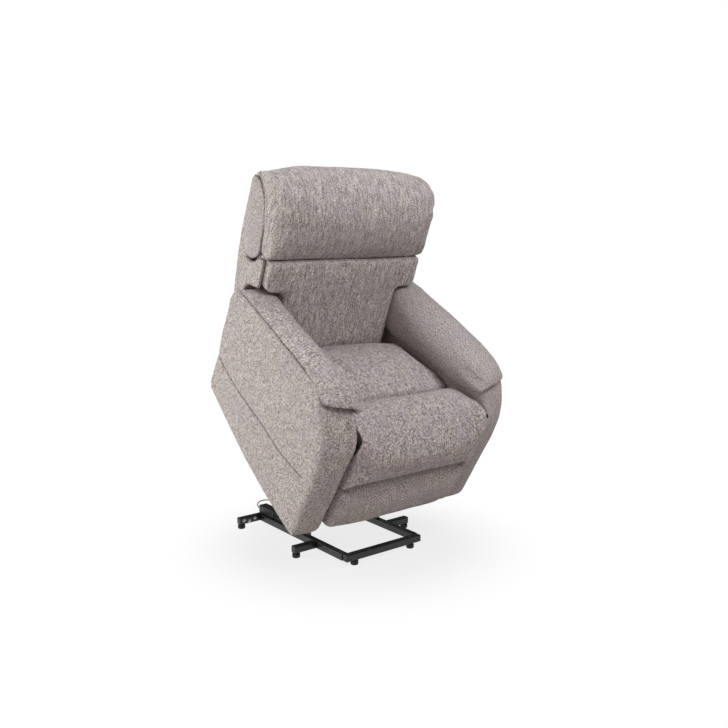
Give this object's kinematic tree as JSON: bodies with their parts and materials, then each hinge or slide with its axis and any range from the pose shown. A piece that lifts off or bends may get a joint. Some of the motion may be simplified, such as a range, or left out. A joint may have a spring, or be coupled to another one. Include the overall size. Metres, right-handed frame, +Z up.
{
  "type": "lift recliner chair",
  "caption": "Upholstered lift recliner standing raised and tilted forward on a black steel floor frame, with padded arms, rolled headrest, folding footrest and reclining back.",
  "frame": {"origin": "on the floor, in the middle of the chair's width and of its length as raised, the lead left out", "axes": "+Z up, +X towards the sitter's left, the front of the chair towards -Y"},
  "size_m": [0.89, 0.957, 1.5311],
  "materials": {
    "black_plastic": "matte",
    "black_steel": "satin",
    "frame_wood": "matte",
    "grey_plastic": "matte",
    "grey_weave": "matte",
    "rod_steel": "polished",
    "rubber": "matte",
    "spring_steel": "satin"
  },
  "bodies": {
    "chair": {"arm_left": "grey_weave", "arm_pad_left": "grey_weave", "arm_pad_right": "grey_weave", "arm_right": "grey_weave", "back_hinge_bracket_left": "black_steel", "back_hinge_bracket_right": "black_steel", "chair_side_plate_left": "black_steel", "chair_side_plate_right": "black_steel", "footrest_pivot_plate_left": "black_steel", "footrest_pivot_plate_right": "black_steel", "knee_roll": "grey_weave", "seat_cross_tube_front": "black_steel", "seat_cross_tube_rear": "black_steel", "seat_cushion": "grey_weave", "seat_rail_front": "frame_wood", "seat_rail_left": "frame_wood", "seat_rail_rear": "frame_wood", "seat_rail_right": "frame_wood", "seat_spring_1": "spring_steel", "seat_spring_2": "spring_steel", "seat_spring_3": "spring_steel", "switch_plate": "black_plastic"},
    "back": {"back_core": "frame_wood", "back_motor_lug": "black_steel", "back_shell": "grey_weave", "headrest_cushion": "grey_weave", "lumbar_cushion": "grey_weave"},
    "back_drive": {"back_motor": "black_plastic"},
    "back_ram": {"back_rod": "rod_steel"},
    "base": {"base_rail_left": "black_steel", "base_rail_right": "black_steel", "front_foot_left": "rubber", "front_foot_right": "rubber", "front_tube": "black_steel", "lift_bracket_left": "black_steel", "lift_bracket_right": "black_steel", "middle_foot_left": "rubber", "middle_foot_right": "rubber", "motor_clevis": "black_steel", "motor_lead": "rubber", "outrigger_left": "black_steel", "outrigger_right": "black_steel", "power_supply": "black_plastic", "rear_cross_tube": "black_steel", "rear_foot_left": "rubber", "rear_foot_right": "rubber"},
    "down_button": {"button_down": "grey_plastic"},
    "up_button": {"button_up": "grey_plastic"},
    "footrest": {"calf_pad": "grey_weave", "footrest_apron": "grey_weave", "footrest_board": "frame_wood", "footrest_swing_plate_left": "black_steel", "footrest_swing_plate_right": "black_steel"},
    "front_link": {"front_lift_link_left": "black_steel", "front_lift_link_right": "black_steel"},
    "lift_drive": {"lift_motor": "black_plastic"},
    "lift_ram": {"lift_rod": "rod_steel"},
    "lift_arm": {"rear_lift_link_left": "black_steel", "rear_lift_link_right": "black_steel", "torque_tube": "black_steel"}
  },
  "joints": [
    {"name": "lift", "type": "hinge", "parent": "base", "child": "lift_arm", "pos_m": [0, 0.03727, 0.18], "axis": [-1, 0, 0], "range_deg": [0, 66.17]},
    {"name": "chair_tilt", "type": "hinge", "parent": "lift_arm", "child": "chair", "pos_m": [0, 0.21539, 0.54858], "axis": [1, 0, 0], "range_deg": [0, 36.19]},
    {"name": "front_link_swing", "type": "hinge", "parent": "base", "child": "front_link", "pos_m": [0, -0.00467, 0.155], "axis": [-1, 0, 0], "range_deg": [0, 73]},
    {"name": "lift_drive_swing", "type": "hinge", "parent": "base", "child": "lift_drive", "pos_m": [0, 0.4064, 0.085], "axis": [-1, 0, 0], "range_deg": [0, 4.96]},
    {"name": "lift_ram_slide", "type": "slide", "parent": "lift_drive", "child": "lift_ram", "axis": [0, 0.9296, -0.3685], "range_m": [0, 0.0743]},
    {"name": "back_recline", "type": "hinge", "parent": "chair", "child": "back", "pos_m": [0, 0.25798, 0.73483], "axis": [-1, 0, 0], "range_deg": [0, 35]},
    {"name": "back_drive_swing", "type": "hinge", "parent": "chair", "child": "back_drive", "pos_m": [0.24, -0.14852, 0.37889], "axis": [1, 0, 0], "range_deg": [0, 0.98]},
    {"name": "back_ram_slide", "type": "slide", "parent": "back_drive", "child": "back_ram", "axis": [0, -0.875, -0.4842], "range_m": [0, 0.0698]},
    {"name": "footrest_swing", "type": "hinge", "parent": "chair", "child": "footrest", "pos_m": [0, -0.42992, 0.5663], "axis": [-1, 0, 0], "range_deg": [0, 85]},
    {"name": "up_button_press", "type": "slide", "parent": "chair", "child": "up_button", "axis": [-1, 0, 0], "range_m": [0, 0.002], "stiffness_N_per_m": 500, "springref_m": -0.0008},
    {"name": "down_button_press", "type": "slide", "parent": "chair", "child": "down_button", "axis": [-1, 0, 0], "range_m": [0, 0.002], "stiffness_N_per_m": 500, "springref_m": -0.0008}
  ],
  "couplings": [
    {"joint": "chair_tilt", "follows": "lift", "ratio": 0.54661},
    {"joint": "front_link_swing", "follows": "lift", "ratio": 1.1028},
    {"joint": "lift_drive_swing", "follows": "lift", "ratio": 0.074513},
    {"joint": "lift_ram_slide", "follows": "lift", "m_per_rad": 0.064205},
    {"joint": "back_drive_swing", "follows": "back_recline", "ratio": 0.027464},
    {"joint": "back_ram_slide", "follows": "back_recline", "m_per_rad": 0.11405}
  ]
}
